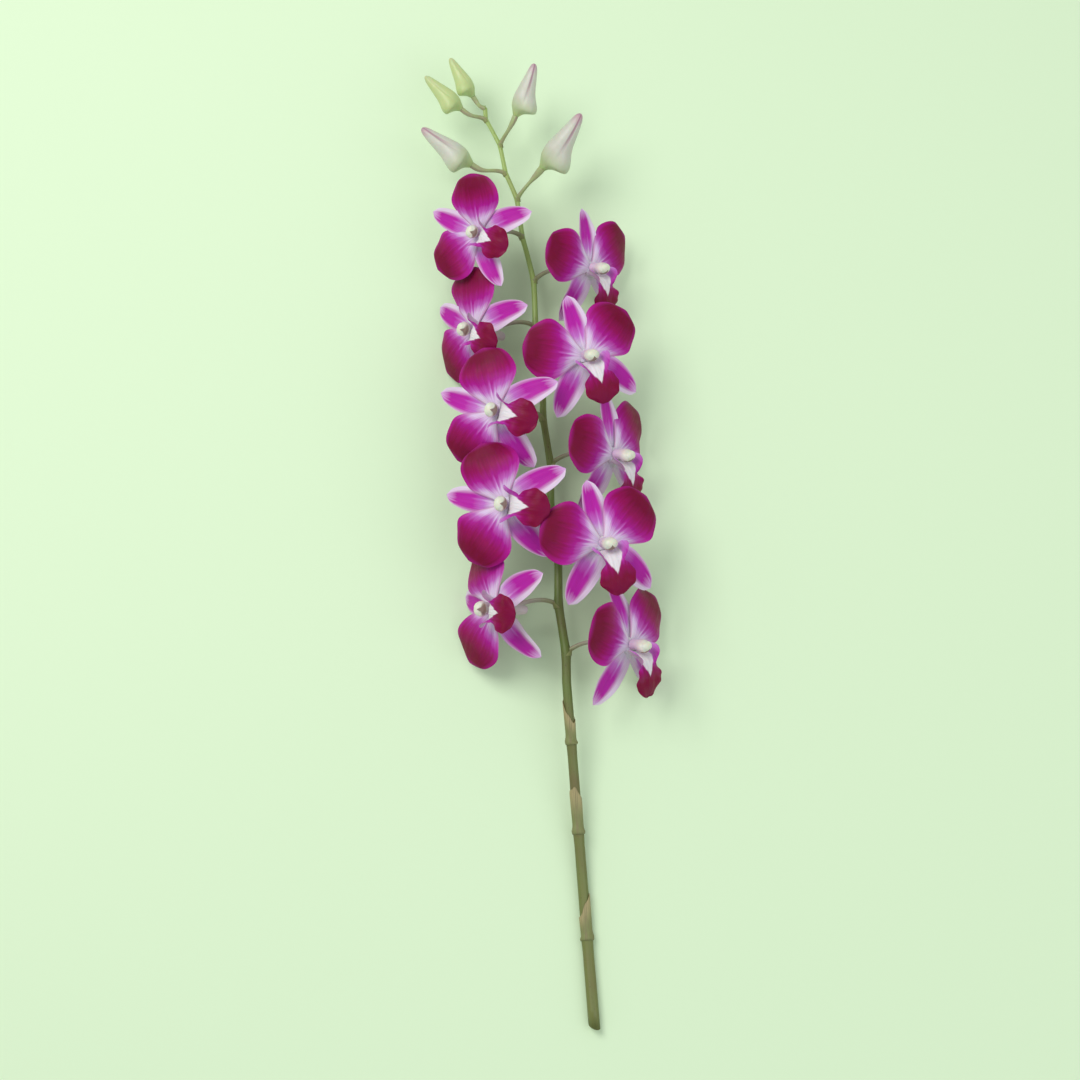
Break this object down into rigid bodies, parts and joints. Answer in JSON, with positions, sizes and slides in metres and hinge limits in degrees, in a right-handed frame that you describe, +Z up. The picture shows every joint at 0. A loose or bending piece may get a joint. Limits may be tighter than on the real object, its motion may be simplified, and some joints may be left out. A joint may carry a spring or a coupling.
{
  "type": "dendrobium orchid stem",
  "caption": "Cut dendrobium orchid stem laid flat: magenta flowers with white throats in two rows along a slim green stalk, with pale green buds at its tip.",
  "frame": {"origin": "on the surface that the stem lies on, under the middle of its bounding box", "axes": "+Y along the stem towards its tip, +Z up from the surface, +X to the right when the cut end is nearest"},
  "size_m": [0.1172, 0.4756, 0.0574],
  "materials": {
    "tepals": "velvety magenta petal, lilac white at its base, paler and greyer behind",
    "lip": "deep crimson petal with a white throat patch",
    "column": "waxy white",
    "bud": "waxy pale green with mauve edges",
    "stem": "smooth satin green, flower stalks greyer and mauve"
  },
  "bodies": {
    "root": {"stem": "stem", "bloom_01_tepals": "tepals", "bloom_01_lip": "lip", "bloom_01_column": "column", "bloom_02_tepals": "tepals", "bloom_02_lip": "lip", "bloom_02_column": "column", "bloom_03_tepals": "tepals", "bloom_03_lip": "lip", "bloom_03_column": "column", "bloom_04_tepals": "tepals", "bloom_04_lip": "lip", "bloom_04_column": "column", "bloom_05_tepals": "tepals", "bloom_05_lip": "lip", "bloom_05_column": "column", "bloom_06_tepals": "tepals", "bloom_06_lip": "lip", "bloom_06_column": "column", "bloom_07_tepals": "tepals", "bloom_07_lip": "lip", "bloom_07_column": "column", "bloom_08_tepals": "tepals", "bloom_08_lip": "lip", "bloom_08_column": "column", "bloom_09_tepals": "tepals", "bloom_09_lip": "lip", "bloom_09_column": "column", "bloom_10_tepals": "tepals", "bloom_10_lip": "lip", "bloom_10_column": "column", "bud_01": "bud", "bud_02": "bud", "bud_03": "bud", "bud_04": "bud", "bud_05": "bud"}
  },
  "joints": []
}
